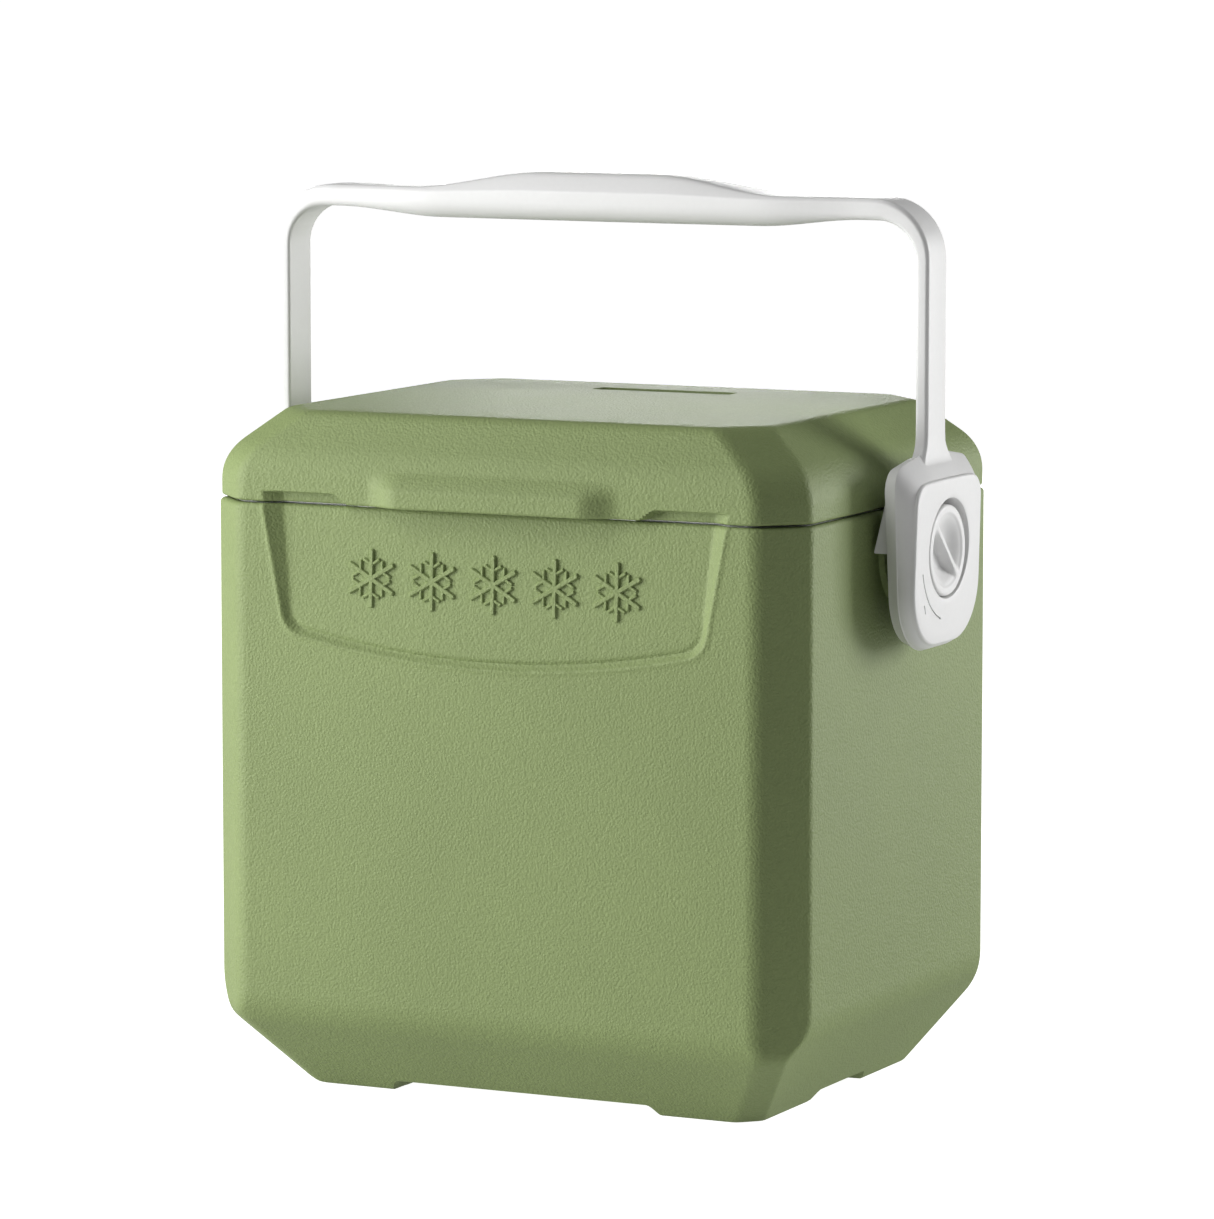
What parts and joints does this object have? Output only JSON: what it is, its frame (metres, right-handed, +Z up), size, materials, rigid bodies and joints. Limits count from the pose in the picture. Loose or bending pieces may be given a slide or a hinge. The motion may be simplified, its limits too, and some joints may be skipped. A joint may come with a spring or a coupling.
{
  "type": "insulated cooler chest",
  "caption": "Small moulded cooler chest with chamfered corners, foamed walls, a hinged lid with a finger lip, and a swing bail handle held by turn knobs.",
  "frame": {"origin": "on the floor, midway between the side walls and midway between the front and back walls", "axes": "+Z up, -Y towards the front with the recess and the finger lip, +X to the right seen from the front, along the bail's pivots"},
  "size_m": [0.347, 0.2435, 0.422],
  "materials": {
    "shell_plastic": "pebble-grained moulded polyethylene, sage green, satin",
    "handle_plastic": "smooth moulded polypropylene, white, satin",
    "liner_plastic": "smooth moulded liner, white, semi-gloss",
    "hinge_plastic": "smooth moulded nylon, sage green, satin",
    "foam": "rigid polyurethane foam, matt",
    "fastener_steel": "zinc-plated steel screws and pins"
  },
  "bodies": {
    "chest": {"outer_shell": "shell_plastic", "inner_liner": "liner_plastic", "foam_core": "foam", "foam_port_plug": "shell_plastic", "pivot_base_left": "shell_plastic", "pivot_base_right": "shell_plastic", "base_screws_left": "fastener_steel", "base_screws_right": "fastener_steel", "hinge_body_leaf_left": "hinge_plastic", "hinge_body_leaf_right": "hinge_plastic", "hinge_pin_left": "fastener_steel", "hinge_pin_right": "fastener_steel", "hinge_body_screws": "fastener_steel"},
    "lid": {"lid_shell": "shell_plastic", "lid_liner": "liner_plastic", "lid_foam": "foam", "lid_port_plug": "liner_plastic", "hinge_lid_leaf_left": "hinge_plastic", "hinge_lid_leaf_right": "hinge_plastic", "hinge_lid_screws": "fastener_steel"},
    "pivot_washers": {"pivot_washer_left": "handle_plastic", "pivot_washer_right": "handle_plastic"},
    "bail": {"bail": "handle_plastic"},
    "knob_left": {"knob_left": "handle_plastic", "knob_screw_left": "fastener_steel"},
    "knob_right": {"knob_right": "handle_plastic", "knob_screw_right": "fastener_steel"}
  },
  "joints": [
    {"name": "lid_hinge", "type": "hinge", "parent": "chest", "child": "lid", "pos_m": [0, 0.117, 0.284], "axis": [-1, 0, 0], "range_deg": [0, 90]},
    {"name": "bail_pushed_back", "type": "hinge", "parent": "chest", "child": "pivot_washers", "pos_m": [0, 0, 0.255], "axis": [-1, 0, 0], "range_deg": [0, 121.5]},
    {"name": "bail_swing", "type": "hinge", "parent": "pivot_washers", "child": "bail", "pos_m": [0, 0, 0.255], "axis": [1, 0, 0], "range_deg": [0, 120]},
    {"name": "knob_left_turn", "type": "hinge", "parent": "bail", "child": "knob_left", "pos_m": [-0.17, 0, 0.255], "axis": [-1, 0, 0], "range_deg": [0, 90]},
    {"name": "knob_right_turn", "type": "hinge", "parent": "bail", "child": "knob_right", "pos_m": [0.17, 0, 0.255], "axis": [1, 0, 0], "range_deg": [0, 90]}
  ],
  "couplings": [
    {"joint": "bail_pushed_back", "follows": "lid_hinge", "ratio": 1.35}
  ]
}
